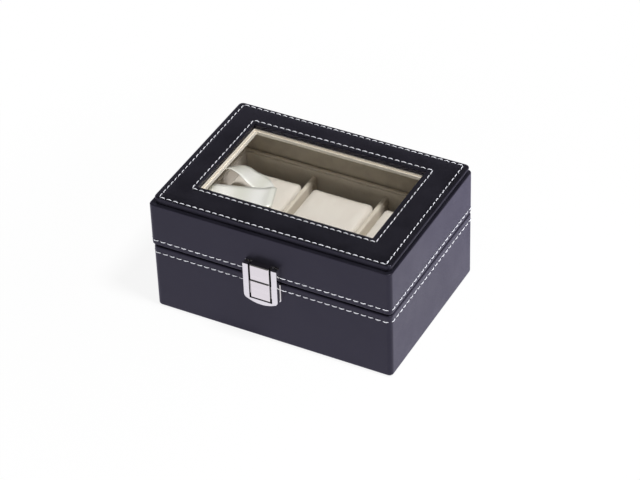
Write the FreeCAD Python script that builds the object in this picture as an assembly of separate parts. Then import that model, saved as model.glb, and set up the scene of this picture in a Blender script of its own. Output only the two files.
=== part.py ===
import FreeCAD, Part
import math
import os

Vec = FreeCAD.Vector
x_axis = Vec(1, 0, 0)
forwards = Vec(0, -1, 0)
backwards = Vec(0, 1, 0)

# Watch box, shut. Millimetres, +X right, +Y back, +Z up, origin at the middle of the foot.

# Box outline over the leather
box_width = 161.6
box_depth = 113.8
base_height = 47.2
seam_gap = 0.4
lid_height = 32.3
corner_round = 3.0
rim_round = 1.5
shoulder_round = 1.6
foot_round = 1.6

# Sheets and boards
leather = 0.9
turn_in = 8.0
felt = 0.6
felt_inset = 2.0
floor_board = 3.5
lid_board = 3.0
lid_cloth = 0.5
lip_clearance = 0.3
lip_rise = 2.6
lining_board = 2.2
floor_cloth = 1.2

# Window in the lid and the stitched cover round it
border_x = 21.9
border_y = 20.9
window_shift_x = -0.7
window_shift_y = 1.7
window_ledge = 2.0
frame_thickness = 3.6
frame_cloth = 0.5
pane_thickness = 2.0
pane_bearing = 7.0
pane_clearance = 0.2
cover_thickness = 3.2
cover_leather = 0.7
cover_inset_x = 1.1
cover_inset_y = 1.05
cover_shift_x = -0.5
cover_shift_y = 1.05
cover_corner = 3.2
cover_round = 1.8
window_round = 0.5

# Bays
divider_thickness = 3.0
divider_drop = 2.9
divider_round = 1.2
divider_flat = 0.3
pillow_side_room = 1.5
pillow_end_room = 8.3
pillow_drop = 4.2
pillow_crown = 1.4
pillow_corner = 3.5
pillow_bulge = 1.0
pillow_draw_in = 0.8
pillow_end_round = 2.6
pillow_end_drop = 1.6
soft_gap = 0.3

# Stay ribbon, folded over the left bay
ribbon_width = 20.0
ribbon_thickness = 0.4
ribbon_y = 2.0
ribbon_glued = 8.0
ribbon_tail = 4.0
ribbon_head_room = 2.3
ribbon_turn = 4.0
ribbon_loop = 2.6
ribbon_reach = 39.0

# Hinges on the back
hinge_from_end = 32.0
hinge_length = 24.0
hinge_knuckles = 3
knuckle_gap = 0.25
barrel_radius = 1.5
pin_radius = 0.7
pin_clearance = 0.05
pin_cap = 0.6
pin_cap_radius = 1.1
leaf_thickness = 0.8
leaf_height = 9.5
leaf_notch = 0.35
leaf_corner = 1.5
leaf_screw_spacing = 14.0
leaf_screw_edge = 3.7

# Screws
screw_radius = 0.75
screw_end_cover = 0.7
screw_clearance = 0.05
head_radius = 1.3
head_height = 0.6
head_round = 0.36
drill_lead = 0.1

# Latch on the front: outline
latch_x = -4.05
plate_margin = 0.4
plate_corner = 2.0
lid_plate_inset = 0.2
arm_width = 3.8
housing_bottom_bar = 3.2
housing_bow = 3.6
housing_corner = 2.4
housing_bevel = 0.9
housing_inner_bevel = 0.3
arm_drop = 0.7
arm_clearance = 0.3
block_width = 13.0
block_bevel = 0.5
block_side_gap = 1.2
block_split_gap = 0.4
block_split_rise = 0.7
strike_height = 11.3
button_height = 13.0
plate_reveal = 0.5

# Latch on the front: layers from the leather outwards
latch_plate = 0.8
spring_stand = 0.4
spring_thickness = 0.3
tongue_gap = 0.4
tongue_thickness = 0.9
button_travel = 0.6
press_room = 0.4
button_thickness = 1.5
flange_thickness = 0.7
flange_clearance = 0.1
flange_width = 1.9
flange_side_gap = 0.4
housing_lip = 0.8

# Latch on the front: catch
tongue_width = 6.4
tongue_length = 7.3
slot_margin = 1.6
slot_height = 2.0
slot_width = 4.4
catch_clearance = 0.4
spring_width = 4.0
spring_foot = 1.8
plunger_width = 3.6
plunger_height = 1.8
plunger_drop = 1.2
plunger_gap = 0.2
latch_screw_spacing = 10.4
latch_screw_rise = 3.4
strike_screw_spacing = 7.0
strike_screw_grip = 2.5

# Places closer than this count as one
touch = 1e-6

# Levels
half_width = box_width / 2
half_depth = box_depth / 2
seam_z = base_height + seam_gap / 2
lid_rim_z = base_height + seam_gap
shoulder_z = lid_rim_z + lid_height
cover_top_z = shoulder_z + cover_thickness
floor_z = felt + leather
floor_top_z = floor_z + floor_board
bay_floor_z = floor_top_z + floor_cloth
lip_z = lid_rim_z + lip_rise
divider_top_z = base_height - divider_drop
pillow_top_z = base_height - pillow_drop
frame_z = shoulder_z - frame_thickness
pane_z = shoulder_z - pane_thickness
frame_cloth_z = frame_z - frame_cloth

# Wall layers, measured inwards from the leather's face
base_board = lid_board + lid_cloth + lip_clearance
base_board_inset = leather + base_board
bay_inset = base_board_inset + lining_board
lid_board_inset = leather + lid_board
lid_cloth_inset = lid_board_inset + lid_cloth
bay_half_width = half_width - bay_inset
bay_half_depth = half_depth - bay_inset
bay_width = (2 * bay_half_width - 2 * divider_thickness) / 3
bay_pitch = bay_width + divider_thickness
mouth_width = box_width - 2 * border_x
mouth_depth = box_depth - 2 * border_y
window_width = mouth_width - 2 * window_ledge
window_depth = mouth_depth - 2 * window_ledge

# Hinge axis, and screws that stop inside the lid's board
hinge_y = half_depth + barrel_radius
hinge_z = seam_z
knuckle_length = hinge_length / hinge_knuckles
screw_length = leaf_thickness + leather + lid_board - screw_end_cover

# Latch widths, halved
block_half = block_width / 2
mouth_half = block_half + block_side_gap
pocket_half = block_half + flange_width + flange_side_gap
housing_half = mouth_half + arm_width
plate_half = housing_half + plate_margin
lid_plate_half = housing_half - lid_plate_inset

# Latch layers as distances out from the front leather
spring_back = latch_plate + spring_stand
spring_front = spring_back + spring_thickness
tongue_back = spring_front + tongue_gap
tongue_front = tongue_back + tongue_thickness
button_back = tongue_front + button_travel + press_room
block_front = button_back + button_thickness
lip_back = button_back + flange_clearance
housing_front = lip_back + housing_lip

# Latch heights
split_z = seam_z + block_split_rise
strike_z = split_z + block_split_gap / 2
strike_top_z = strike_z + strike_height
button_top_z = split_z - block_split_gap / 2
button_z = button_top_z - button_height
arm_top_z = strike_top_z - arm_drop
opening_z = button_z - block_side_gap
housing_z = opening_z - housing_bottom_bar
foot_z = housing_z + housing_bow
tongue_z = strike_z - tongue_length
slot_z = tongue_z + slot_margin
base_plate_z = opening_z - plate_reveal
base_plate_top_z = base_height - plate_reveal
lid_plate_z = lid_rim_z + plate_reveal


def span(x0, x1, y0, y1, z0, z1):
    """Box between two opposite corners."""
    return Part.makeBox(x1 - x0, y1 - y0, z1 - z0, Vec(x0, y0, z0))


def slab(width, depth, z0, z1, x=0.0, y=0.0):
    """Box of a given plan size about an upright line."""
    return span(x - width / 2, x + width / 2, y - depth / 2, y + depth / 2, z0, z1)


def inset_slab(inset, z0, z1):
    """Box drawn in from the leather's outer face by one distance on all four sides."""
    return slab(box_width - 2 * inset, box_depth - 2 * inset, z0, z1)


def core(inset, z0, z1):
    """Inset box whose upright corners follow the leather's rounded ones."""
    return round_uprights(inset_slab(inset, z0, z1), corner_round - inset)


def window_slab(grow, z0, z1):
    """Box about the middle of the window, larger than its opening by one distance on all sides."""
    width, depth = window_width + 2 * grow, window_depth + 2 * grow
    return slab(width, depth, z0, z1, window_shift_x, window_shift_y)


def edges_where(shape, test):
    """Edges whose two ends both pass a test."""
    return [edge for edge in shape.Edges if all(test(v.Point) for v in edge.Vertexes)]


def is_upright(edge):
    box = edge.BoundBox
    return box.ZLength > box.XLength + box.YLength


def round_uprights(shape, radius):
    return shape.makeFillet(radius, [edge for edge in shape.Edges if is_upright(edge)])


def round_level(shape, z, radius):
    """Round the ring of edges that lies at one height."""
    return shape.makeFillet(radius, edges_where(shape, lambda p: abs(p.z - z) < touch))


def round_corners_at(shape, z, radius):
    """Round the outer corners at one height, seen from the front."""
    level = edges_where(shape, lambda p: abs(p.z - z) < touch)
    corners = [edge for edge in level if edge.BoundBox.YLength > edge.BoundBox.XLength]
    return shape.makeFillet(radius, corners)


def walls(outer, inner, z0, z1):
    """Four boards of a wall layer: front and back run through, left and right stand between them."""
    x_out, y_out = half_width - outer, half_depth - outer
    x_in, y_in = half_width - inner, half_depth - inner
    return {
        "front": span(-x_out, x_out, -y_out, -y_in, z0, z1),
        "back": span(-x_out, x_out, y_in, y_out, z0, z1),
        "left": span(-x_out, -x_in, -y_in, y_in, z0, z1),
        "right": span(x_in, x_out, -y_in, y_in, z0, z1),
    }


def rod(start, axis, radius, length):
    return Part.makeCylinder(radius, length, start, axis)


def pan_screw(seat, inward):
    """Screw with its head on a seat and its shank running inwards."""
    shank = rod(seat, inward, screw_radius, screw_length)
    head = rod(seat, inward * -1, head_radius, head_height)
    crown = [edge for edge in head.Edges if (edge.BoundBox.Center - seat).dot(inward) < -head_height / 2]
    return shank.fuse(head.makeFillet(head_round, crown)).removeSplitter()


def screw_hole(seat, inward, length):
    """Clearance hole for a shank, starting a little above the seat."""
    return rod(seat - inward * drill_lead, inward, screw_radius + screw_clearance, length + drill_lead)


def drill(names, seats, inward, length):
    for name in names:
        for seat in seats:
            nodes[name] = nodes[name].cut(screw_hole(seat, inward, length))


def pillow_section(x, half_length, z0, z1, crown):
    """Upright slice across a pillow: flat foot, bowed sides, crowned top."""
    r = pillow_corner
    k = r * (1 - math.sqrt(0.5))
    bow = half_length + pillow_bulge
    middle_z = (z0 + z1) / 2

    def at(y, z):
        return Vec(x, y, z)

    edges = [Part.LineSegment(at(r - half_length, z0), at(half_length - r, z0))]
    corners = [
        (at(half_length - r, z0), at(half_length - k, z0 + k), at(half_length, z0 + r)),
        (at(half_length, z0 + r), at(bow, middle_z), at(half_length, z1 - r)),
        (at(half_length, z1 - r), at(half_length - k, z1 - k), at(half_length - r, z1)),
        (at(half_length - r, z1), at(0, z1 + crown), at(r - half_length, z1)),
        (at(r - half_length, z1), at(k - half_length, z1 - k), at(-half_length, z1 - r)),
        (at(-half_length, z1 - r), at(-bow, middle_z), at(-half_length, z0 + r)),
        (at(-half_length, z0 + r), at(k - half_length, z0 + k), at(r - half_length, z0)),
    ]
    edges += [Part.Arc(*three) for three in corners]
    return Part.Wire([edge.toShape() for edge in edges])


def pillow(x):
    """Cushion lofted across its width: crowned in the middle, drawn in at the sides, rounded at the ends."""
    half = bay_width / 2 - pillow_side_room
    z0 = bay_floor_z + soft_gap
    z1 = pillow_top_z - pillow_crown
    full = bay_half_depth - pillow_end_room - pillow_bulge
    drop = pillow_end_drop
    end = (full - drop, z0 + drop, z1 - drop, pillow_crown / 2)
    shoulder = (full, z0, z1, pillow_crown / 2)
    middle = (full - pillow_draw_in, z0, z1, pillow_crown)
    slices = [
        (x - half, end),
        (x - half + pillow_end_round, shoulder),
        (x, middle),
        (x + half - pillow_end_round, shoulder),
        (x + half, end),
    ]
    cushion = Part.makeLoft([pillow_section(at, *shape) for at, shape in slices], True, False)
    return cushion.cut(slab(bay_width, 2 * bay_half_depth, z0 - drop, z0, x))


def strip(start, heading, moves, thickness, y0, width):
    """Flat strip bent along straight runs and arcs in an upright plane. Positive turns go left."""
    sides = ([], [])
    x, z = start
    for length, turn in moves:
        normal = heading + math.pi / 2
        if turn == 0:
            end = (x + length * math.cos(heading), z + length * math.sin(heading))
        else:
            radius = length / turn
            centre = (x + radius * math.cos(normal), z + radius * math.sin(normal))
            end = (centre[0] - radius * math.cos(normal + turn), centre[1] - radius * math.sin(normal + turn))
        for side, offset in zip(sides, (thickness / 2, -thickness / 2)):
            first = Vec(x + offset * math.cos(normal), y0, z + offset * math.sin(normal))
            last_normal = normal + turn
            last = Vec(end[0] + offset * math.cos(last_normal), y0, end[1] + offset * math.sin(last_normal))
            if turn == 0:
                side.append(Part.LineSegment(first, last).toShape())
            else:
                reach = radius - offset
                half_way = normal + turn / 2
                middle_x = centre[0] - reach * math.cos(half_way)
                middle_z = centre[1] - reach * math.sin(half_way)
                middle = Vec(middle_x, y0, middle_z)
                side.append(Part.Arc(first, middle, last).toShape())
        x, z = end
        heading += turn
    left, right = sides
    caps = [
        Part.LineSegment(left[0].Vertexes[0].Point, right[0].Vertexes[0].Point).toShape(),
        Part.LineSegment(left[-1].Vertexes[-1].Point, right[-1].Vertexes[-1].Point).toShape(),
    ]
    outline = Part.Wire(Part.__sortEdges__(left + right + caps))
    return Part.Face(outline).extrude(Vec(0, width, 0))


nodes = {}

# Base: felt, boards and linings
nodes["base_felt"] = inset_slab(felt_inset, 0, felt)
base_core = core(leather, floor_z, base_height - leather)
nodes["base_floor_board"] = base_core.common(inset_slab(leather, floor_z, floor_top_z))
base_walls = walls(leather, base_board_inset, floor_top_z, base_height - leather)
for side, board in base_walls.items():
    nodes[f"base_{side}_board"] = board.common(base_core)
for side, board in walls(base_board_inset, bay_inset, floor_top_z, lip_z).items():
    nodes[f"base_lining_{side}"] = board
nodes["base_floor_lining"] = inset_slab(bay_inset, floor_top_z, bay_floor_z)

# Base: leather drawn over the rim, down the walls and under the floor
base_skin = round_uprights(inset_slab(0, felt, base_height), corner_round)
base_skin = round_level(base_skin, base_height, rim_round)
base_skin = round_level(base_skin, felt, foot_round)
base_skin = base_skin.cut(base_core)
base_skin = base_skin.cut(inset_slab(base_board_inset, floor_z, base_height))
base_skin = base_skin.cut(inset_slab(turn_in, felt, floor_z))
nodes["base_leather_wrap"] = base_skin

# Dividers and pillows
for side, sign in (("left", -1), ("right", 1)):
    divider = slab(divider_thickness, 2 * bay_half_depth, bay_floor_z, divider_top_z, x=sign * bay_pitch / 2)
    top = [
        edge
        for edge in edges_where(divider, lambda p: abs(p.z - divider_top_z) < touch)
        if edge.BoundBox.YLength > divider_thickness
    ]
    top_round = min(divider_round, (divider_thickness - divider_flat) / 2)
    nodes[f"divider_{side}"] = divider.makeFillet(top_round, top)
for place, step in (("left", -1), ("middle", 0), ("right", 1)):
    nodes[f"pillow_{place}"] = pillow(step * bay_pitch)

# Lid: wall boards and their cloth
lid_core = core(leather, lid_rim_z + leather, shoulder_z - leather)
lid_walls = walls(leather, lid_board_inset, lid_rim_z + leather, frame_z)
for side, board in lid_walls.items():
    nodes[f"lid_{side}_board"] = board.common(lid_core)
for side, cloth in walls(lid_board_inset, lid_cloth_inset, lid_rim_z, frame_cloth_z).items():
    nodes[f"lid_lining_{side}"] = cloth

# Lid: window frame with a seat for the pane and a step for the leather's turn-in
window_frame = inset_slab(leather, frame_z, shoulder_z - leather).common(lid_core)
window_frame = window_frame.fuse(inset_slab(turn_in, shoulder_z - leather, shoulder_z))
window_frame = window_frame.cut(window_slab(frame_cloth, frame_z, shoulder_z))
pane_seat = window_slab(pane_bearing + pane_clearance, pane_z, shoulder_z)
nodes["lid_window_frame"] = window_frame.cut(pane_seat).removeSplitter()
nodes["window_pane"] = window_slab(pane_bearing, pane_z, shoulder_z)
frame_lining = inset_slab(lid_board_inset, frame_cloth_z, frame_z).fuse(window_slab(frame_cloth, frame_z, pane_z))
frame_lining = frame_lining.cut(window_slab(0, frame_cloth_z, pane_z))
nodes["lid_frame_lining"] = frame_lining.removeSplitter()

# Lid: leather drawn over the rim, up the walls and over the shoulder
lid_skin = round_uprights(inset_slab(0, lid_rim_z, shoulder_z), corner_round)
lid_skin = round_level(lid_skin, lid_rim_z, rim_round)
lid_skin = round_level(lid_skin, shoulder_z, shoulder_round)
lid_skin = lid_skin.cut(lid_core)
lid_skin = lid_skin.cut(inset_slab(lid_board_inset, lid_rim_z, shoulder_z - leather))
lid_skin = lid_skin.cut(inset_slab(turn_in, shoulder_z - leather, shoulder_z))
nodes["lid_leather_wrap"] = lid_skin

# Lid: stitched cover, a board inside a leather skin
cover_width = box_width - 2 * cover_inset_x
cover_depth = box_depth - 2 * cover_inset_y
board_top_z = cover_top_z - cover_leather


def cover_slab(inset, z):
    """Cover drawn in by one distance, with its corners and top edge rounded to match."""
    width, depth = cover_width - 2 * inset, cover_depth - 2 * inset
    block = slab(width, depth, shoulder_z, z, cover_shift_x, cover_shift_y)
    return round_level(round_uprights(block, cover_corner - inset), z, cover_round - inset)


cover_mouth = window_slab(window_ledge, shoulder_z, cover_top_z)
cover_board = cover_slab(cover_leather, board_top_z)
cover_board = cover_board.cut(window_slab(window_ledge + cover_leather, shoulder_z, board_top_z))
nodes["lid_cover_board"] = cover_board
cover_skin = cover_slab(0, cover_top_z).cut(cover_mouth)
mouth_box = cover_mouth.BoundBox
mouth_rim = edges_where(cover_skin, lambda p: abs(p.z - cover_top_z) < touch and mouth_box.isInside(p))
cover_skin = cover_skin.makeFillet(window_round, mouth_rim)
nodes["lid_cover_leather"] = cover_skin.cut(cover_board)

# Hinges: leaves with alternate knuckles, pins and screws


def leaf_screw_seats(x, direction):
    z = hinge_z + direction * (leaf_height - leaf_screw_edge)
    y = half_depth + leaf_thickness
    return [Vec(x + half * leaf_screw_spacing / 2, y, z) for half in (-1, 1)]


def hinge_leaf(x, direction, first):
    """One leaf: direction is +1 for the lid's, -1 for the base's; it owns every second knuckle from first."""
    near = hinge_z + direction * (barrel_radius + leaf_notch)
    far = hinge_z + direction * leaf_height
    left = x - hinge_length / 2
    y_out = half_depth + leaf_thickness
    leaf = span(left, left + hinge_length, half_depth, y_out, min(near, far), max(near, far))
    leaf = round_corners_at(leaf, far, leaf_corner)
    for index in range(first, hinge_knuckles, 2):
        start = left + index * knuckle_length + knuckle_gap / 2
        length = knuckle_length - knuckle_gap
        tab = span(start, start + length, half_depth, y_out, min(near, hinge_z), max(near, hinge_z))
        barrel = rod(Vec(start, hinge_y, hinge_z), x_axis, barrel_radius, length)
        leaf = leaf.fuse(tab).fuse(barrel)
    bore = rod(Vec(left, hinge_y, hinge_z), x_axis, pin_radius + pin_clearance, hinge_length)
    leaf = leaf.cut(bore).removeSplitter()
    for seat in leaf_screw_seats(x, direction):
        leaf = leaf.cut(screw_hole(seat, forwards, screw_length))
    return leaf


hinge_screws = {"base": [], "lid": []}
for side, sign in (("left", -1), ("right", 1)):
    x = sign * (half_width - hinge_from_end)
    for owner, direction, first in (("base", -1, 0), ("lid", 1, 1)):
        nodes[f"hinge_{owner}_leaf_{side}"] = hinge_leaf(x, direction, first)
        seats = leaf_screw_seats(x, direction)
        hinge_screws[owner] += [pan_screw(seat, forwards) for seat in seats]
        drill([f"{owner}_leather_wrap", f"{owner}_back_board"], seats, forwards, screw_length)
    pin_start = Vec(x - hinge_length / 2, hinge_y, hinge_z)
    pin = rod(pin_start, x_axis, pin_radius, hinge_length)
    for cap_x in (x - hinge_length / 2 - pin_cap, x + hinge_length / 2):
        pin = pin.fuse(rod(Vec(cap_x, hinge_y, hinge_z), x_axis, pin_cap_radius, pin_cap))
    nodes[f"hinge_pin_{side}"] = pin.removeSplitter()
for owner, screws in hinge_screws.items():
    nodes[f"hinge_{owner}_screws"] = Part.makeCompound(screws)

# Latch on the front


def latch_span(x0, x1, out0, out1, z0, z1):
    """Box on the front face: x from the latch's middle, out from the leather."""
    return span(latch_x + x0, latch_x + x1, -half_depth - out1, -half_depth - out0, z0, z1)


def front_edges(shape, out):
    """Edges that lie on the face a given distance out."""
    y = -half_depth - out
    return edges_where(shape, lambda p: abs(p.y - y) < touch)


def latch_seats(spacing, z, y):
    return [Vec(latch_x + half * spacing / 2, y, z) for half in (-1, 1)]


# Latch: back plates on the base and the lid
base_plate = latch_span(-plate_half, plate_half, 0, latch_plate, base_plate_z, base_plate_top_z)
nodes["latch_base_plate"] = round_corners_at(base_plate, base_plate_z, plate_corner)
nodes["latch_lid_plate"] = latch_span(
    -lid_plate_half, lid_plate_half, 0, latch_plate, lid_plate_z, strike_top_z
)

# Latch: housing, a U with a bowed foot, lips over the button's flanges and arms that clear the lid plate


def front_point(x, z):
    return Vec(latch_x + x, -half_depth - latch_plate, z)


outline = [
    Part.LineSegment(front_point(-mouth_half, arm_top_z), front_point(-housing_half, arm_top_z)),
    Part.LineSegment(front_point(-housing_half, arm_top_z), front_point(-housing_half, foot_z)),
    Part.Arc(
        front_point(-housing_half, foot_z),
        front_point(0, housing_z),
        front_point(housing_half, foot_z),
    ),
    Part.LineSegment(front_point(housing_half, foot_z), front_point(housing_half, arm_top_z)),
    Part.LineSegment(front_point(housing_half, arm_top_z), front_point(mouth_half, arm_top_z)),
    Part.LineSegment(front_point(mouth_half, arm_top_z), front_point(mouth_half, opening_z)),
    Part.LineSegment(front_point(mouth_half, opening_z), front_point(-mouth_half, opening_z)),
    Part.LineSegment(front_point(-mouth_half, opening_z), front_point(-mouth_half, arm_top_z)),
]
housing = Part.Face(Part.Wire([edge.toShape() for edge in outline]))
housing = housing.extrude(Vec(0, latch_plate - housing_front, 0))
housing = round_corners_at(housing, foot_z, housing_corner)


def on_mouth(edge):
    """True for an edge along the mouth between the arms."""
    return all(abs(v.X - latch_x) < mouth_half + touch and v.Z > opening_z - touch for v in edge.Vertexes)


rim = [edge for edge in front_edges(housing, housing_front) if not on_mouth(edge)]
housing = housing.makeChamfer(housing_bevel, rim)
mouth = [edge for edge in front_edges(housing, housing_front) if on_mouth(edge)]
housing = housing.makeChamfer(housing_inner_bevel, mouth)
pocket = latch_span(-pocket_half, pocket_half, latch_plate, lip_back, opening_z, arm_top_z)
lid_relief = latch_span(
    -housing_half, housing_half, latch_plate, latch_plate + arm_clearance, base_plate_top_z, arm_top_z
)
nodes["latch_housing"] = housing.cut(pocket).cut(lid_relief).removeSplitter()

# Latch: strike block on the lid with its slotted tongue
strike = latch_span(-block_half, block_half, latch_plate, block_front, strike_z, strike_top_z)
strike = strike.makeChamfer(block_bevel, front_edges(strike, block_front))
tongue = latch_span(-tongue_width / 2, tongue_width / 2, tongue_back, tongue_front, tongue_z, strike_z)
slot = latch_span(-slot_width / 2, slot_width / 2, tongue_back, tongue_front, slot_z, slot_z + slot_height)
nodes["latch_strike"] = strike.fuse(tongue.cut(slot)).removeSplitter()

# Latch: button with side flanges behind the housing's lips and a plunger on its back
button = latch_span(-block_half, block_half, button_back, block_front, button_z, button_top_z)
button = button.makeChamfer(block_bevel, front_edges(button, block_front))
for sign in (-1, 1):
    inner, outer = sorted((sign * (block_half - flange_width), sign * (block_half + flange_width)))
    flange_back = button_back - flange_thickness
    flange_z = button_z + flange_width
    flange_top_z = button_top_z - flange_width
    button = button.fuse(latch_span(inner, outer, flange_back, button_back, flange_z, flange_top_z))
plunger_top = tongue_z - plunger_drop
button = button.fuse(
    latch_span(
        -plunger_width / 2,
        plunger_width / 2,
        spring_front + plunger_gap,
        button_back,
        plunger_top - plunger_height,
        plunger_top,
    )
)
nodes["latch_button"] = button.removeSplitter()

# Latch: leaf spring on the base plate, with a hook in the tongue's slot
spring_z = opening_z + catch_clearance
hook_z = slot_z + catch_clearance
hook_top = slot_z + slot_height - catch_clearance
half_spring = spring_width / 2
leaf = latch_span(-half_spring, half_spring, spring_back, spring_front, spring_z, hook_top)
foot = latch_span(-half_spring, half_spring, latch_plate, spring_back, spring_z, spring_z + spring_foot)
half_hook = slot_width / 2 - catch_clearance
hook = latch_span(-half_hook, half_hook, spring_front, tongue_front - catch_clearance, hook_z, hook_top)
nodes["latch_catch_spring"] = leaf.fuse(foot).fuse(hook).removeSplitter()

# Latch: screws through the base plate, and through the lid wall into the strike
base_seats = latch_seats(latch_screw_spacing, opening_z + latch_screw_rise, -half_depth - latch_plate)
nodes["latch_base_screws"] = Part.makeCompound([pan_screw(seat, backwards) for seat in base_seats])
drill(["latch_base_plate", "base_leather_wrap", "base_front_board"], base_seats, backwards, screw_length)

strike_seat_y = lid_board_inset - head_height - half_depth
strike_shank = strike_seat_y + half_depth + latch_plate + strike_screw_grip
strike_seats = latch_seats(strike_screw_spacing, (strike_z + strike_top_z) / 2, strike_seat_y)
strike_screws = []
for seat in strike_seats:
    shank = rod(seat, forwards, screw_radius, strike_shank)
    head = rod(seat, backwards, head_radius, head_height)
    strike_screws.append(shank.fuse(head).removeSplitter())
    recess = rod(seat, backwards, head_radius + screw_clearance, head_height)
    nodes["lid_front_board"] = nodes["lid_front_board"].cut(recess)
nodes["latch_strike_screws"] = Part.makeCompound(strike_screws)
drill(
    ["lid_front_board", "lid_leather_wrap", "latch_lid_plate", "latch_strike"],
    strike_seats,
    forwards,
    strike_shank,
)

# Stay ribbon: up the left wall, out over the bay, back over itself and up the lid's wall
ribbon_x = ribbon_thickness / 2 - bay_half_width
ribbon_end_x = lid_cloth_inset - half_width + soft_gap + ribbon_thickness / 2
ribbon_top_z = frame_cloth_z - ribbon_head_room
ribbon_low_z = ribbon_top_z - ribbon_tail - ribbon_turn - 2 * ribbon_loop
quarter = math.pi / 2
out_run = ribbon_reach - ribbon_turn - ribbon_loop
back_run = ribbon_x + out_run - ribbon_end_x
rise_run = ribbon_low_z - ribbon_turn - base_height + ribbon_glued
ribbon_moves = [
    (rise_run, 0),
    (ribbon_turn * quarter, -quarter),
    (out_run, 0),
    (ribbon_loop * 2 * quarter, 2 * quarter),
    (back_run, 0),
    (ribbon_turn * quarter, -quarter),
    (ribbon_tail, 0),
]
ribbon_start = (ribbon_x, base_height - ribbon_glued)
nodes["stay_ribbon"] = strip(
    ribbon_start, quarter, ribbon_moves, ribbon_thickness, ribbon_y - ribbon_width / 2, ribbon_width
)
print("ribbon length", round(sum(length for length, turn in ribbon_moves), 1))

os.makedirs("parts", exist_ok=True)
for name, shape in nodes.items():
    shape.exportStep(f"parts/{name}.step")
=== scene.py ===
import math
import random

import bmesh
import bpy
from mathutils import Matrix, Vector


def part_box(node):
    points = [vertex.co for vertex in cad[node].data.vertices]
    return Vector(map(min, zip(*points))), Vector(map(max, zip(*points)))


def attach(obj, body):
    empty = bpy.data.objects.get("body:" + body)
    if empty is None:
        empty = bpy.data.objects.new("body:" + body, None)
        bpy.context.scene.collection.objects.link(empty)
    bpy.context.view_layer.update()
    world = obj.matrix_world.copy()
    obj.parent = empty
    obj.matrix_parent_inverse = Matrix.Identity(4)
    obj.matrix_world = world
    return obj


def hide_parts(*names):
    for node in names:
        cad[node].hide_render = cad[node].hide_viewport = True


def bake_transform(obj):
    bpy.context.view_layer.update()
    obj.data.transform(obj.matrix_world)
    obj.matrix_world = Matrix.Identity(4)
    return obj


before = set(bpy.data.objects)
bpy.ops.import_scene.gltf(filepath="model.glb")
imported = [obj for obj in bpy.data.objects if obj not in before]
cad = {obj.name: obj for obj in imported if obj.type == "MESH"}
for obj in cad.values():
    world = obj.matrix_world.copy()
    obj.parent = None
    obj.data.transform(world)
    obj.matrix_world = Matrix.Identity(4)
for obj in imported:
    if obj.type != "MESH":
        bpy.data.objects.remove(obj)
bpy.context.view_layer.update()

mm = 0.001
up = Vector((0, 0, 1))
across_x = Vector((1, 0, 0))
across_y = Vector((0, 1, 0))

# How near two places count as one, from which angle an edge is kept sharp,
# and from which cosine a face counts as facing an axis
same_place = 1e-6
cut_merge = 1e-7
sharp_angle = math.radians(50)
facing = 0.9

# Camera: what the photograph's view looks at, from where, and through which lens
view_target = Vector((3.75, 1.01, 38.24)) * mm
view_distance = 1587.9 * mm
view_azimuth = math.radians(28.64)
view_elevation = math.radians(37.97)
view_roll = math.radians(-2.07)
view_lens = 145.25
view_sensor = 36.0

# Thread and stitches
thread_radius = 0.28 * mm
stitch_bow = 0.55 * mm
stitch_sink = 0.18 * mm
stitch_gap = 0.8 * mm
stitch_slant = math.radians(3.0)
slant_play = 0.03
shortest_play, longest_play = -0.05, 0.03
height_play = 0.1
wall_pitch = 4.85 * mm
cover_pitch = 4.5 * mm
row_above_rim = 4.03 * mm
row_below_rim = 4.67 * mm
row_corner = 1.2 * mm
outer_row = (Vector((-75.6, -53.35, 0)) * mm, Vector((76.5, 53.1, 0)) * mm)
inner_row = (Vector((-61.9, -37.4, 0)) * mm, Vector((62.0, 40.6, 0)) * mm)

# Leather of the lid's walls: its roundings, and how far it stands out at both ends
wrap_corner = 3.0 * mm
wrap_shoulder = 0.7 * mm
wrap_rim = 1.5 * mm
wrap_left_swell = 1.1 * mm
wrap_right_swell = 0.1 * mm

# Cover leather: plan, rounded edge, skirt, padded crown, and the dip that each row of stitches pulls
cover_plan = (Vector((-79.4, -54.5, 0)) * mm, Vector((80.1, 55.7, 0)) * mm)
cover_corner = 3.2 * mm
cover_round = 0.8 * mm
cover_skirt = 1.6 * mm
cover_undercut = 0.9 * mm
cover_underside = 0.5 * mm
crown_fall = 0.3 * mm
crown_reach = 9.0 * mm
dip_depth = 0.05 * mm
dip_reach = 1.2 * mm
slope_step = 0.2 * mm

# Window: how far the cover reaches over the pane, and the room round the pane in its rebate
mouth_inside_pane = 5.0 * mm
mouth_round = 0.5 * mm
pane_clearance = 0.2 * mm

# Linings
lining_round = 0.7 * mm
lid_lining_round = 0.2 * mm
divider_round = 1.1 * mm
lip_crease_drop = 1.5 * mm
crease_reach = 0.45 * mm
crease_depth = 1.25 * mm

# Latch housing
arm_width = 3.8 * mm
foot_bar = 3.2 * mm
foot_bow = 3.6 * mm
foot_corner = 2.4 * mm
housing_round = 1.5 * mm
foot_steps = 16
mouth_margin = 0.1 * mm

# Pillows: the block they start from, and the cloth that swells it
pillow_round = 1.2 * mm
pillow_slack = 0.6 * mm
pillow_voxel = 2.0 * mm
pillow_swell = 0.5 * mm
pillow_room = 0.6 * mm
pillow_frames = 20
pillow_pressure = 30.0
pillow_mass = 0.05
pillow_stiffness = 12.0
pillow_bending = 0.6

# Ribbon: its size, the station at which it folds, and the spacing of the highlight bands painted along it
ribbon_width = 20.0 * mm
ribbon_thickness = 0.3 * mm
ribbon_fold = 10
painted_gleam_spacing = 21.5 * mm
ribbon_steps = 8
ribbon_strands = 6

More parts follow.
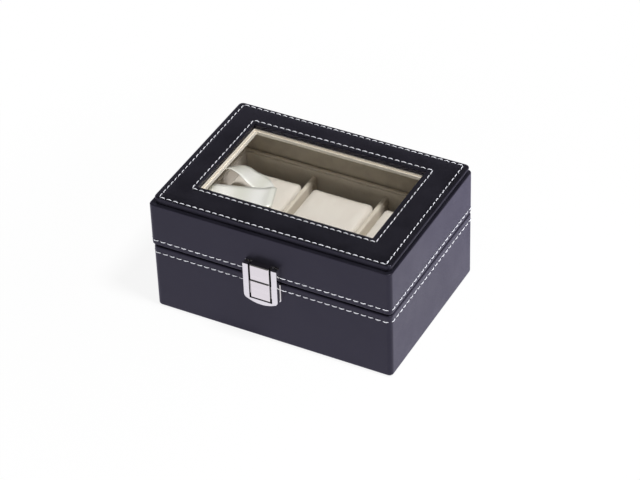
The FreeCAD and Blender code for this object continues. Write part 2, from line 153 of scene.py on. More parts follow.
# Studio: lamps (place in metres, width, level of a white surface), tint of reflections, ceiling and floor
lamp_aim = Vector((0, 0, 0.04))
lamps = {
    "key_lamp": (Vector((0.56, -0.12, 1.28)), 0.26, 0.98),
    "fill_lamp": (Vector((-0.3, -0.6, 1.2)), 0.9, 0.03),
}
ambient_level = 0.19
ambient_colour = (1.0, 0.985, 0.97, 1)
reflection_tint = (0.84, 0.80, 1.0, 1)
ceiling_start, ceiling_end = 0.3, 0.57
ceiling_dark = 0.012
floor_size = 6.0
floor_colour = (0.95, 0.95, 0.95, 1)
shadow_near, shadow_far = 0.14, 0.3
shadow_white = 0.9
mirror_near, mirror_far = 0.02, 0.12
mirror_grey = 0.66


def add(tree, kind, inputs=None, **settings):
    """A node with its settings, its plain values and its links."""
    made = tree.nodes.new(kind)
    for key, value in settings.items():
        setattr(made, key, value)
    for key, value in (inputs or {}).items():
        if isinstance(value, bpy.types.NodeSocket):
            tree.links.new(value, made.inputs[key])
        else:
            made.inputs[key].default_value = value
    return made


def reckon(tree, operation, *values, **settings):
    """The result of a sum on values or sockets."""
    return add(tree, "ShaderNodeMath", dict(enumerate(values)), operation=operation, **settings).outputs[0]


def eased(tree, value, start, end, low=0.0, high=1.0):
    """A value that runs smoothly from low to high while the given one runs from start to end."""
    reach = {"From Min": start, "From Max": end, "To Min": low, "To Max": high}
    return add(
        tree, "ShaderNodeMapRange", {"Value": value, **reach}, interpolation_type="SMOOTHSTEP"
    ).outputs[0]


def chosen(tree, mask, off, on):
    """One of two values, by a mask."""
    return add(tree, "ShaderNodeMix", {"Factor": mask, 2: off, 3: on}, data_type="FLOAT").outputs[0]


def tinted(tree, mask, off, on):
    """One of two colours, by a mask."""
    return add(tree, "ShaderNodeMix", {"Factor": mask, 6: off, 7: on}, data_type="RGBA").outputs[2]


def effect(name, inputs, outputs):
    """An empty node group with named sockets, and its two ends."""
    tree = bpy.data.node_groups.new(name, "ShaderNodeTree")
    for label, kind, value in inputs:
        socket = tree.interface.new_socket(label, in_out="INPUT", socket_type=kind)
        if value is not None:
            socket.default_value = value
    for label in outputs:
        tree.interface.new_socket(label, in_out="OUTPUT", socket_type="NodeSocketFloat")
    return tree, add(tree, "NodeGroupInput").outputs, add(tree, "NodeGroupOutput").inputs


def grain_effect():
    """Pebbled leather: rounded cells with fine creases between them, and pores."""
    tree, given, result = effect(
        "leather_grain",
        [("Vector", "NodeSocketVector", None), ("Cells per metre", "NodeSocketFloat", 1500.0)],
        ["Height", "Crease"],
    )
    wobble = add(tree, "ShaderNodeTexNoise", {"Vector": given["Vector"], "Scale": 900.0, "Detail": 2.0})
    shift = add(
        tree,
        "ShaderNodeVectorMath",
        {0: wobble.outputs["Color"], 1: (0.0006, 0.0006, 0.0006)},
        operation="MULTIPLY",
    )
    bent = add(tree, "ShaderNodeVectorMath", {0: given["Vector"], 1: shift.outputs[0]}, operation="ADD")
    cells = add(
        tree,
        "ShaderNodeTexVoronoi",
        {"Vector": bent.outputs[0], "Scale": given["Cells per metre"]},
        feature="DISTANCE_TO_EDGE",
    )
    creases = eased(tree, cells.outputs["Distance"], 0.0, 0.22, low=1.0, high=0.0)
    pores = add(tree, "ShaderNodeTexNoise", {"Vector": given["Vector"], "Scale": 5200.0, "Detail": 1.0})
    pore_height = reckon(tree, "MULTIPLY", pores.outputs["Fac"], 0.35)
    tree.links.new(reckon(tree, "SUBTRACT", pore_height, creases), result["Height"])
    tree.links.new(creases, result["Crease"])
    return tree


def mottle_effect():
    """Soft cloudy variation between 0 and 1."""
    tree, given, result = effect(
        "cloudy_tone",
        [("Vector", "NodeSocketVector", None), ("Clouds per metre", "NodeSocketFloat", 40.0)],
        ["Tone"],
    )
    clouds = add(
        tree,
        "ShaderNodeTexNoise",
        {"Vector": given["Vector"], "Scale": given["Clouds per metre"], "Detail": 4.0, "Roughness": 0.6},
    )
    tree.links.new(eased(tree, clouds.outputs["Fac"], 0.3, 0.7), result["Tone"])
    return tree


def nap_effect():
    """Short velvet pile: fine tufts, and strokes where the pile lies another way."""
    tree, given, result = effect(
        "velvet_nap",
        [("Vector", "NodeSocketVector", None), ("Tufts per metre", "NodeSocketFloat", 3600.0)],
        ["Height", "Stroke"],
    )
    tufts = add(
        tree,
        "ShaderNodeTexNoise",
        {"Vector": given["Vector"], "Scale": given["Tufts per metre"], "Detail": 2.0, "Roughness": 0.7},
    )
    stretched = add(tree, "ShaderNodeMapping", {"Vector": given["Vector"], "Scale": (1.0, 0.45, 0.8)})
    strokes = add(
        tree,
        "ShaderNodeTexNoise",
        {"Vector": stretched.outputs[0], "Scale": 150.0, "Detail": 3.0, "Distortion": 0.8},
    )
    tree.links.new(tufts.outputs["Fac"], result["Height"])
    tree.links.new(eased(tree, strokes.outputs["Fac"], 0.35, 0.65), result["Stroke"])
    return tree


def scuff_effect():
    """Hairline scuffs on metal, in two crossing directions."""
    tree, given, result = effect(
        "metal_scuffs",
        [("Vector", "NodeSocketVector", None), ("Scuffs per metre", "NodeSocketFloat", 900.0)],
        ["Scuff"],
    )
    lines = []
    for turn in (0.35, 1.2):
        laid = add(
            tree,
            "ShaderNodeMapping",
            {"Vector": given["Vector"], "Rotation": (0.0, turn, 0.0), "Scale": (0.06, 1.0, 1.0)},
        )
        hair = add(
            tree,
            "ShaderNodeTexNoise",
            {"Vector": laid.outputs[0], "Scale": given["Scuffs per metre"], "Detail": 3.0},
        )
        lines.append(hair.outputs["Fac"])
    both = reckon(tree, "MULTIPLY", *lines)
    marks = add(tree, "ShaderNodeMapRange", {"Value": both, "From Min": 0.2, "From Max": 0.42})
    tree.links.new(marks.outputs[0], result["Scuff"])
    return tree


grain = grain_effect()
mottle = mottle_effect()
nap = nap_effect()
scuff = scuff_effect()


def finish(name, plain):
    """A material with its plain shader values, its tree, its shader and its object coordinates."""
    made = bpy.data.materials.new(name)
    made.use_nodes = True
    tree = made.node_tree
    shader = tree.nodes["Principled BSDF"]
    for socket, value in plain.items():
        shader.inputs[socket].default_value = value
    coords = add(tree, "ShaderNodeTexCoord").outputs["Object"]
    return made, tree, shader, coords


def placed(tree, effect_tree, **inputs):
    """One of the shared effects, placed in a material."""
    named = {label.replace("_", " "): value for label, value in inputs.items()}
    return add(tree, "ShaderNodeGroup", named, node_tree=effect_tree).outputs


def two_tone(tree, shader, mask, dark, light):
    """Base colour that runs between two tones."""
    tree.links.new(tinted(tree, mask, (*dark, 1.0), (*light, 1.0)), shader.inputs["Base Color"])


def roughened(tree, shader, value, smooth, rough):
    """Roughness that runs between two values."""
    made = add(tree, "ShaderNodeMapRange", {"Value": value, "To Min": smooth, "To Max": rough})
    tree.links.new(made.outputs[0], shader.inputs["Roughness"])


def raised(tree, shader, height, strength, distance):
    """Relief from a height."""
    bump = add(tree, "ShaderNodeBump", {"Height": height, "Strength": strength, "Distance": distance})
    tree.links.new(bump.outputs[0], shader.inputs["Normal"])


def leather_finish(name, dark, light, rough, sheen):
    """Pebbled leather, duller in its creases and its pale clouds."""
    made, tree, shader, coords = finish(
        name,
        {
            "IOR": 1.45,
            "Specular Tint": (0.78, 0.74, 1.0, 1.0),
            "Sheen Weight": sheen,
            "Sheen Roughness": 0.4,
            "Sheen Tint": (0.58, 0.53, 1.0, 1.0),
        },
    )
    cells = placed(tree, grain, Vector=coords, Cells_per_metre=1500.0)
    cloud = placed(tree, mottle, Vector=coords, Clouds_per_metre=38.0)
    two_tone(tree, shader, cloud["Tone"], dark, light)
    worn = reckon(tree, "MULTIPLY_ADD", cells["Crease"], 0.25, cloud["Tone"])
    roughened(tree, shader, worn, smooth=0.28, rough=rough)
    raised(tree, shader, cells["Height"], strength=0.22, distance=0.06 * mm)
    return made


def velvet_finish(name, dark, light, sheen):
    """Velvet with a short pile that lies this way and that."""
    made, tree, shader, coords = finish(
        name,
        {"Sheen Weight": sheen, "Sheen Roughness": 0.45, "Specular IOR Level": 0.15},
    )
    pile = placed(tree, nap, Vector=coords, Tufts_per_metre=3600.0)
    two_tone(tree, shader, pile["Stroke"], dark, light)
    roughened(tree, shader, pile["Height"], smooth=0.82, rough=1.0)
    raised(tree, shader, pile["Height"], strength=0.25, distance=0.15 * mm)
    return made


def metal_finish(name, colour, smooth, rough):
    """Metal with hairline scuffs, paler and rougher than the rest."""
    made, tree, shader, coords = finish(name, {"Metallic": 1.0})
    marks = placed(tree, scuff, Vector=coords, Scuffs_per_metre=700.0)
    paler = tuple(min(1.0, part * 1.06) for part in colour)
    two_tone(tree, shader, marks["Scuff"], colour, paler)
    roughened(tree, shader, marks["Scuff"], smooth, rough)
    return made


def board_finish():
    made, tree, shader, coords = finish("fibreboard", {"Specular IOR Level": 0.2})
    cloud = placed(tree, mottle, Vector=coords, Clouds_per_metre=420.0)
    two_tone(tree, shader, cloud["Tone"], (0.24, 0.17, 0.1), (0.4, 0.3, 0.19))
    roughened(tree, shader, cloud["Tone"], smooth=0.8, rough=0.95)
    raised(tree, shader, cloud["Tone"], strength=0.3, distance=0.2 * mm)
    return made


def felt_finish():
    made, tree, shader, coords = finish("black_felt", {"Sheen Weight": 0.2, "Specular IOR Level": 0.1})
    pile = placed(tree, nap, Vector=coords, Tufts_per_metre=1800.0)
    two_tone(tree, shader, pile["Stroke"], (0.010, 0.010, 0.011), (0.022, 0.021, 0.023))
    roughened(tree, shader, pile["Height"], smooth=0.88, rough=1.0)
    raised(tree, shader, pile["Height"], strength=0.6, distance=0.4 * mm)
    return made


def thread_finish():
    made, tree, shader, coords = finish("sewing_thread", {"Sheen Weight": 0.25, "Specular IOR Level": 0.35})
    ply = add(
        tree,
        "ShaderNodeTexWave",
        {"Vector": coords, "Scale": 420.0, "Distortion": 1.5, "Detail": 1.0},
        bands_direction="DIAGONAL",
    )
    two_tone(tree, shader, ply.outputs["Fac"], (0.8, 0.81, 0.88), (0.93, 0.94, 1.0))
    roughened(tree, shader, ply.outputs["Fac"], smooth=0.55, rough=0.75)
    raised(tree, shader, ply.outputs["Fac"], strength=0.4, distance=0.1 * mm)
    return made


def satin_finish():
    """Satin with painted highlights: paler bands painted into its colour along the ribbon, darkest at its
    fold.
    """
    made, tree, shader, _ = finish(
        "satin_ribbon",
        {"Sheen Weight": 0.3, "Sheen Roughness": 0.3, "Specular IOR Level": 0.9, "Anisotropic": 0.5},
    )
    laid = add(tree, "ShaderNodeUVMap", uv_map="along").outputs["UV"]
    across = add(tree, "ShaderNodeMapping", {"Vector": laid, "Scale": (1.0, 0.05, 1.0)})
    floats = add(tree, "ShaderNodeTexNoise", {"Vector": across.outputs[0], "Scale": 9000.0, "Detail": 2.0})
    along = add(tree, "ShaderNodeSeparateXYZ", {0: laid}).outputs["Y"]
    # Painted highlight: the ribbon's colour runs paler and darker in bands along its length.
    wave = reckon(tree, "COSINE", reckon(tree, "MULTIPLY", along, 2 * math.pi / painted_gleam_spacing))
    painted_gleam = add(tree, "ShaderNodeMapRange", {"Value": wave, "From Min": 1.0, "From Max": -1.0})
    two_tone(tree, shader, painted_gleam.outputs[0], (0.83, 0.835, 0.765), (1.0, 1.0, 0.97))
    roughened(tree, shader, floats.outputs["Fac"], smooth=0.22, rough=0.42)
    raised(tree, shader, floats.outputs["Fac"], strength=0.15, distance=0.05 * mm)
    return made


def glass_finish():
    """Clear pane that lamps shine through."""
    made, tree, shader, coords = finish(
        "clear_pane",
        {"Base Color": (0.985, 0.985, 0.98, 1.0), "Transmission Weight": 1.0, "IOR": 1.45},
    )
    cloud = placed(tree, mottle, Vector=coords, Clouds_per_metre=25.0)
    roughened(tree, shader, cloud["Tone"], smooth=0.0, rough=0.012)
    open_way = add(tree, "ShaderNodeBsdfTransparent", {"Color": (0.95, 0.95, 0.945, 1.0)})
    path = add(tree, "ShaderNodeLightPath").outputs
    passing = reckon(tree, "MAXIMUM", path["Is Shadow Ray"], path["Is Diffuse Ray"])
    either = add(tree, "ShaderNodeMixShader", {0: passing, 1: shader.outputs[0], 2: open_way.outputs[0]})
    tree.links.new(either.outputs[0], tree.nodes["Material Output"].inputs["Surface"])
    return made


finishes = {
    "wrap": leather_finish(
        "wrap_leather", (0.008, 0.0076, 0.0115), (0.012, 0.0114, 0.0165), rough=0.38, sheen=0.12
    ),
    "cover": leather_finish(
        "cover_leather", (0.0045, 0.0044, 0.0058), (0.0072, 0.007, 0.0092), rough=0.36, sheen=0.0
    ),
    "lining": velvet_finish("lining_velvet", (0.68, 0.62, 0.53), (0.73, 0.67, 0.575), sheen=0.1),
    # Painted light: a paler copy of the cream lining for the base's end walls, standing in for the light that
    # falls on them.
    "lining_ends_painted_light": velvet_finish("lining_velvet_ends_painted_light", (0.82, 0.77, 0.715), (0.87, 0.82, 0.765), sheen=0.1),
    # Painted light: the palest copy of the cream lining, for the window's ledge, standing in for the light
    # that falls on it.
    "lining_ledge_painted_light": velvet_finish("lining_velvet_ledge_painted_light", (0.88, 0.82, 0.725), (0.93, 0.87, 0.775), sheen=0.1),
    # Painted shade: a darker copy of the cream lining for the lid's walls, standing in for the shade inside
    # the lid.
    "lining_lid_painted_shade": velvet_finish("lining_velvet_lid_painted_shade", (0.45, 0.405, 0.335), (0.50, 0.45, 0.375), sheen=0.05),
    "pillow": velvet_finish("pillow_velvet", (0.78, 0.73, 0.665), (0.81, 0.765, 0.70), sheen=0.15),
    "chrome": metal_finish("chrome", (0.825, 0.815, 0.77), smooth=0.05, rough=0.13),
    # Painted shade: the flat faces of the strike and the button take a slightly darker, warmer chrome than
    # the arms; their higher roughness is the metal's own.
    "chrome_face_painted_shade": metal_finish("brushed_chrome_painted_shade", (0.82, 0.79, 0.735), smooth=0.09, rough=0.17),
    # Painted shade: near-black metal for the latch's faces that lie in its gaps.
    "latch_painted_shade": metal_finish("latch_painted_shade", (0.03, 0.03, 0.033), smooth=0.3, rough=0.45),
    "steel": metal_finish("nickel_steel", (0.60, 0.59, 0.575), smooth=0.16, rough=0.30),
    "board": board_finish(),
    "felt": felt_finish(),
    "thread": thread_finish(),
    "satin": satin_finish(),
    "glass": glass_finish(),
}

sides = ("front", "back", "left", "right")
hands = ("left", "right")
cad_finishes = {
    "wrap": ["base_leather_wrap"],
    "lining": ["base_floor_lining"],
    # The window's ledge takes the paler lining with painted light.
    "lining_ledge_painted_light": ["lid_frame_lining"],
    "felt": ["base_felt"],
    "glass": ["window_pane"],
    "board": ["base_floor_board"]
    + [f"{half}_{side}_board" for half in ("base", "lid") for side in sides],
    "chrome": ["latch_base_plate", "latch_lid_plate"],
    # The strike and the button take the chrome with painted shade.
    "chrome_face_painted_shade": ["latch_strike", "latch_button"],
    "steel": ["latch_catch_spring", "latch_base_screws", "latch_strike_screws"]
    + ["hinge_base_screws", "hinge_lid_screws"]
    + [f"hinge_{half}_leaf_{hand}" for half in ("base", "lid") for hand in hands]
    + [f"hinge_pin_{hand}" for hand in hands],
}


def dress_frame():
    """Give every CAD node that stays in view its finish."""
    for key, names in cad_finishes.items():
        for name in names:
            cad[name].data.materials.clear()
            cad[name].data.materials.append(finishes[key])


def shade_latch(mesh, in_shade):
    """Painted shade: a near-black finish on the latch's faces that lie in the gaps between its pieces, where
    shade falls.
    """
    mesh.materials.append(finishes["latch_painted_shade"])
    for face in mesh.polygons:
        if in_shade(face):
            face.material_index = len(mesh.materials) - 1


def shade_latch_gaps():
    """Paint shade on the ends and undersides of the strike and the button."""
    for name in ("latch_strike", "latch_button"):
        shade_latch(cad[name].data, lambda face: abs(face.normal.x) > facing or face.normal.z < -facing)


def new_object(name, bm, key, smooth=True):
    """Turn a bmesh into an object at the origin, with a finish."""
    mesh = bpy.data.meshes.new(name)
    bm.to_mesh(mesh)
    bm.free()
    mesh.materials.append(finishes[key])
    if smooth:
        mesh.shade_smooth()
    made = bpy.data.objects.new(name, mesh)
    bpy.context.scene.collection.objects.link(made)
    return made


def settle(made, body, slot, *replaced):
    """Let a piece ride on a body and stand for CAD nodes, which it hides; its slot is not used."""
    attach(made, body)
    if replaced:
        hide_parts(*replaced)
    return made


def bevel(bm, edges, offset, segments):
    """Round edges off."""
    bmesh.ops.bevel(
        bm,
        geom=edges,
        offset=offset,
        segments=segments,
        profile=0.5,
        affect="EDGES",
        material=-1,
        clamp_overlap=True,
    )


def face_out(bm):
    """Turn every face outward."""
    bmesh.ops.recalc_face_normals(bm, faces=bm.faces[:])


def slice_at(bm, place, across):
    """Cut a bmesh along a plane."""
    everything = bm.verts[:] + bm.edges[:] + bm.faces[:]
    bmesh.ops.bisect_plane(bm, geom=everything, dist=cut_merge, plane_co=place, plane_no=across)


def block(low, high):
    """Box between two corners."""
    bm = bmesh.new()
    bmesh.ops.create_cube(bm, size=1.0)
    bmesh.ops.scale(bm, vec=high - low, verts=bm.verts)
    bmesh.ops.translate(bm, vec=(low + high) / 2, verts=bm.verts)
    return bm


def crease(bm, z, thickness_axis, thickness, middle):
    """Press a crease round a board at one height."""
    for height in (z - crease_reach, z, z + crease_reach):
        slice_at(bm, Vector((0, 0, height)), up)
    pressed = Vector((1, 1, 1))
    pressed[thickness_axis] = 1 - 2 * crease_depth / thickness
    ring = [vert for vert in bm.verts if abs(vert.co.z - z) < same_place]
    bmesh.ops.scale(bm, vec=pressed, space=Matrix.Translation(-middle), verts=ring)


def lined_board(name, node_name, body, radius, key, crease_z=None):
    """Cloth-covered board with softened edges, and a crease where one is asked for."""
    low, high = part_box(node_name)
    bm = block(low, high)
    bevel(bm, bm.edges[:], radius, segments=4)
    if crease_z is not None:
        thin = 0 if high.x - low.x < high.y - low.y else 1
        crease(bm, crease_z, thin, high[thin] - low[thin], (low + high) / 2)
    made = new_object(name, bm, key)
    even_shading(made)
    return settle(made, body, "cream_velvet", node_name)


def line_box():
    """Cream velvet on the walls of both halves and on the dividers, with painted light on the base's end
    walls and painted shade on the lid's walls.
    """
    for side in sides:
        node_name = f"base_lining_{side}"
        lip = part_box(node_name)[1].z - lip_crease_drop
        # The base's end walls take the paler lining with painted light.
        base_key = "lining_ends_painted_light" if side in hands else "lining"
        lined_board(f"base_lining_cloth_{side}", node_name, "base", lining_round, base_key, lip)
        # The lid's walls take the darker lining with painted shade.
        lined_board(f"lid_lining_cloth_{side}", f"lid_lining_{side}", "lid", lid_lining_round, "lining_lid_painted_shade")
    for hand in hands:
        lined_board(f"divider_cloth_{hand}", f"divider_{hand}", "base", divider_round, "lining")


def level_edges(bm, z):
    """Edges that lie at one height."""
    return [edge for edge in bm.edges if all(abs(vert.co.z - z) < same_place for vert in edge.verts)]


def upright_edges(bm):
    """Edges that rise."""
    return [edge for edge in bm.edges if abs(edge.verts[0].co.z - edge.verts[1].co.z) > same_place]


def hollow(bm, low, high):
    """Open a shaft through a block, between two corners seen from above."""
    for axis, across in enumerate((across_x, across_y)):
        for cut in (low[axis], high[axis]):
            slice_at(bm, across * cut, across)

    def over_shaft(point):
        return all(low[axis] - same_place < point[axis] < high[axis] + same_place for axis in (0, 1))

    open_faces = [face for face in bm.faces if over_shaft(face.calc_center_median())]
    bmesh.ops.delete(bm, geom=open_faces, context="FACES")
    bmesh.ops.bridge_loops(bm, edges=[edge for edge in bm.edges if edge.is_boundary])
    return over_shaft


def even_shading(made):
    """Keep flat faces flat beside their rounded edges."""
    made.data.set_sharp_from_angle(angle=sharp_angle)
    made.modifiers.new("even_shading", "WEIGHTED_NORMAL").keep_sharp = True


def lid_wrap_box():
    """Corners of the lid's leather walls, which swell at both ends and stop under the cover's skirt."""
    low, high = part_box("lid_leather_wrap")
    return low - Vector((wrap_left_swell, 0, 0)), high + Vector((wrap_right_swell, 0, -cover_skirt))


def lid_inside():
    """Corners of the room inside the lid's wall boards, seen from above."""
    low = Vector((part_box("lid_lining_left")[0].x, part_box("lid_lining_front")[0].y, 0))
    high = Vector((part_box("lid_lining_right")[1].x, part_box("lid_lining_back")[1].y, 0))
    return low, high


def wrap_lid():
    """Leather of the lid's walls, drawn tight over the shoulder."""
    low, high = lid_wrap_box()
    bm = block(low, high)
    bevel(bm, upright_edges(bm), wrap_corner, segments=10)
    bevel(bm, level_edges(bm, high.z), wrap_shoulder, segments=5)
    bevel(bm, level_edges(bm, low.z), wrap_rim, segments=6)
    hollow(bm, *lid_inside())
    face_out(bm)
    made = new_object("lid_leather_skin", bm, "wrap")
    even_shading(made)
    settle(made, "lid", "black_leather", "lid_leather_wrap")


def frame_board():
    """Board round the window, under the pane, and the rebate that the pane lies in, both in the ledge's paler
    lining with painted light.
    """
    inner_low, inner_high = lid_inside()
    mouth_low, mouth_high = mouth_plan()
    bottom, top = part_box("lid_window_frame")[0].z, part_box("window_pane")[0].z
    bm = block(Vector((*inner_low.xy, bottom)), Vector((*inner_high.xy, top)))
    hollow(bm, mouth_low, mouth_high)
    face_out(bm)
    settle(new_object("window_frame_board", bm, "lining_ledge_painted_light", False), "lid", "board", "lid_window_frame")
    pane_low, pane_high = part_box("window_pane")
    clear = Vector((pane_clearance, pane_clearance, 0))
    bm = block(Vector((*inner_low.xy, top)), Vector((*inner_high.xy, pane_high.z)))
    hollow(bm, pane_low - clear, pane_high + clear)
    face_out(bm)
    settle(new_object("window_frame_rebate", bm, "lining_ledge_painted_light", False), "lid", "board")


def mouth_plan():
    """Corners of the cover's mouth, seen from above."""
    low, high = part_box("window_pane")
    inside = Vector((mouth_inside_pane, mouth_inside_pane, 0))
    return low + inside, high - inside


def cover_box():
    """Corners of the cover, without the skirt that hangs below its edges."""
    low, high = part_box("lid_cover_leather")
    return Vector((*cover_plan[0].xy, low.z)), Vector((*cover_plan[1].xy, high.z))


def from_edge(x, y):
    """How far a place lies from the nearest outer edge of the cover."""
    low, high = cover_box()
    return min(x - low.x, high.x - x, y - low.y, high.y - y)


def crown(x, y):
    """How far the padded cover falls away towards its outer edges."""
    return crown_fall * max(0.0, 1 - from_edge(x, y) / crown_reach) ** 2


def dip(x, y):
    """How far the rows of stitches pull the cover down."""
    pulled = 0.0
    for (x0, y0, _), (x1, y1, _) in (outer_row, inner_row):
        beyond = max(x0 - x, x - x1, y0 - y, y - y1)
        pulled += dip_depth * max(0.0, 1 - (beyond / dip_reach) ** 2)
    return pulled


def turned_edge(x, y):
    """How far the cover's rounded edge lies below its top."""
    low, high = cover_box()
    fall = 0.0
    for edge in (x - low.x, high.x - x, y - low.y, high.y - y):
        short = max(0.0, cover_round - edge)
        fall += cover_round - math.sqrt(cover_round ** 2 - short ** 2)
    return fall


def on_cover(place):
    """Place on the cover's top and the way that faces out there."""
    top = cover_box()[1].z
    step = slope_step

    def level(x, y):
        return top - crown(x, y) - turned_edge(x, y)

    x, y = place.x, place.y
    slope_x = (level(x + step, y) - level(x - step, y)) / (2 * step)
    slope_y = (level(x, y + step) - level(x, y - step)) / (2 * step)
    return Vector((x, y, level(x, y) - dip(x, y))), Vector((-slope_x, -slope_y, 1)).normalized()


def lay_cover():
    """Leather cover: a padded frame with a turned edge, dipped along its rows of stitches."""
    low, high = cover_box()
    bm = block(low, high)
    bevel(bm, upright_edges(bm), cover_corner, segments=6)
    bevel(bm, level_edges(bm, high.z), cover_round, segments=8)
    for axis, across in enumerate((across_x, across_y)):
        cuts = []
        for row in (outer_row, inner_row):
            cuts += [side[axis] + dip_reach * share for side in row for share in (-1, -0.5, 0, 0.5, 1)]
        for share in (0.4, 0.6, 0.8, 1.0):
            cuts += [low[axis] + crown_reach * share, high[axis] - crown_reach * share]
        for cut in cuts:
            slice_at(bm, across * cut, across)
    over_mouth = hollow(bm, *mouth_plan())
    lip = [
        edge
        for edge in bm.edges
        if all(over_mouth(vert.co) and abs(vert.co.z - high.z) < same_place for vert in edge.verts)
    ]
    bevel(bm, lip, mouth_round, segments=3)
    shoulder = low.z + cover_underside
    for vert in bm.verts:
        if vert.co.z > shoulder:
            vert.co.z -= crown(vert.co.x, vert.co.y) + dip(vert.co.x, vert.co.y)
        elif from_edge(vert.co.x, vert.co.y) < cover_corner:
            vert.co.z -= cover_skirt
            vert.co.x -= (2 * vert.co.x - low.x - high.x) / (high.x - low.x) * cover_undercut
    face_out(bm)
    made = new_object("cover_leather_frame", bm, "cover")
    even_shading(made)
    settle(made, "lid", "black_leather", "lid_cover_leather", "lid_cover_board")


def stitch_mesh(length):
    """One plump stitch along X that rises between its two ends."""
    bm = bmesh.new()
    bmesh.ops.create_uvsphere(bm, u_segments=8, v_segments=7, radius=1.0)
    bmesh.ops.rotate(bm, cent=(0, 0, 0), matrix=Matrix.Rotation(math.pi / 2, 3, "Y"), verts=bm.verts)
    for vert in bm.verts:
        fuller = math.sqrt(1 + vert.co.x ** 2)
        rise = stitch_bow * (1 - vert.co.x ** 2) - stitch_sink
        vert.co = Vector(
            (
                vert.co.x * length / 2,
                vert.co.y * fuller * thread_radius,
                vert.co.z * fuller * thread_radius + rise,
            )
        )
    mesh = bpy.data.meshes.new("stitch")
    bm.to_mesh(mesh)
    bm.free()
    return mesh


def sew(bm, start, end, pitch, chance, surface, skips=()):
    """A run of stitches from start to end, left out where a fitting covers the seam."""
    run = end - start
    count = round(run.length / pitch)
    step = run / count
    pattern = stitch_mesh(step.length - stitch_gap)
    for index in range(count):
        middle, outward = surface(start + step * (index + 0.5))
        aside = outward.cross(step).normalized()
        axes = Matrix((aside.cross(outward), aside, outward)).transposed()
        slant = Matrix.Rotation(stitch_slant + chance.uniform(-slant_play, slant_play), 3, "Z")
        longer = 1 + chance.uniform(shortest_play, longest_play)
        stretch = Matrix.Diagonal((longer, 1, 1 + chance.uniform(-height_play, height_play)))
        if any(low < middle.x < high for low, high in skips):
            continue
        place = Matrix.Translation(middle) @ (axes @ slant @ stretch).to_4x4()
        stitch = pattern.copy()
        stitch.transform(place)
        bm.from_mesh(stitch)
        bpy.data.meshes.remove(stitch)
    bpy.data.meshes.remove(pattern)


def fitting_spans(names):
    """Stretches along X that fittings cover."""
    spans = []
    for name in names:
        low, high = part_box(name)
        spans.append((low.x - wall_pitch / 4, high.x + wall_pitch / 4))
    return spans


def sew_walls(name, walls, z, body, front_fittings, back_fittings, seed):
    """A row of stitches round the four walls at one height."""
    low, high = walls
    chance = random.Random(seed)
    bm = bmesh.new()
    near, far = row_corner, -row_corner
    runs = [
        ((low.x + near, low.y), (high.x + far, low.y), -across_y, fitting_spans(front_fittings)),
        ((high.x, low.y + near), (high.x, high.y + far), across_x, ()),
        ((high.x + far, high.y), (low.x + near, high.y), across_y, fitting_spans(back_fittings)),
        ((low.x, high.y + far), (low.x, low.y + near), -across_x, ()),
    ]
    for start, end, outward, skips in runs:

        def on_wall(place):
            return place, outward

        sew(bm, Vector((*start, z)), Vector((*end, z)), wall_pitch, chance, on_wall, skips)
    settle(new_object(name, bm, "thread"), body, "satin")


def sew_cover(name, corners, seed):
    """A rectangle of stitches on the cover."""
    (x0, y0, _), (x1, y1, _) = corners
    chance = random.Random(seed)
    bm = bmesh.new()
    ring = [Vector((x, y, 0)) for x, y in ((x0, y0), (x1, y0), (x1, y1), (x0, y1))]
    for index, start in enumerate(ring):
        sew(bm, start, ring[(index + 1) % len(ring)], cover_pitch, chance, on_cover)
    settle(new_object(name, bm, "thread"), "lid", "satin")


def sew_seams():
    """The four rows of stitches, each with its own seed."""
    base_walls, lid_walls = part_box("base_leather_wrap"), lid_wrap_box()
    base_leaves = [f"hinge_base_leaf_{hand}" for hand in hands]
    lid_leaves = [f"hinge_lid_leaf_{hand}" for hand in hands]
    base_row, lid_row = base_walls[1].z - row_below_rim, lid_walls[0].z + row_above_rim
    sew_walls("base_stitches", base_walls, base_row, "base", ["latch_base_plate"], base_leaves, seed=3)
    sew_walls("lid_stitches", lid_walls, lid_row, "lid", ["latch_lid_plate"], lid_leaves, seed=5)
    sew_cover("cover_outer_stitches", outer_row, seed=7)
    sew_cover("cover_inner_stitches", inner_row, seed=11)


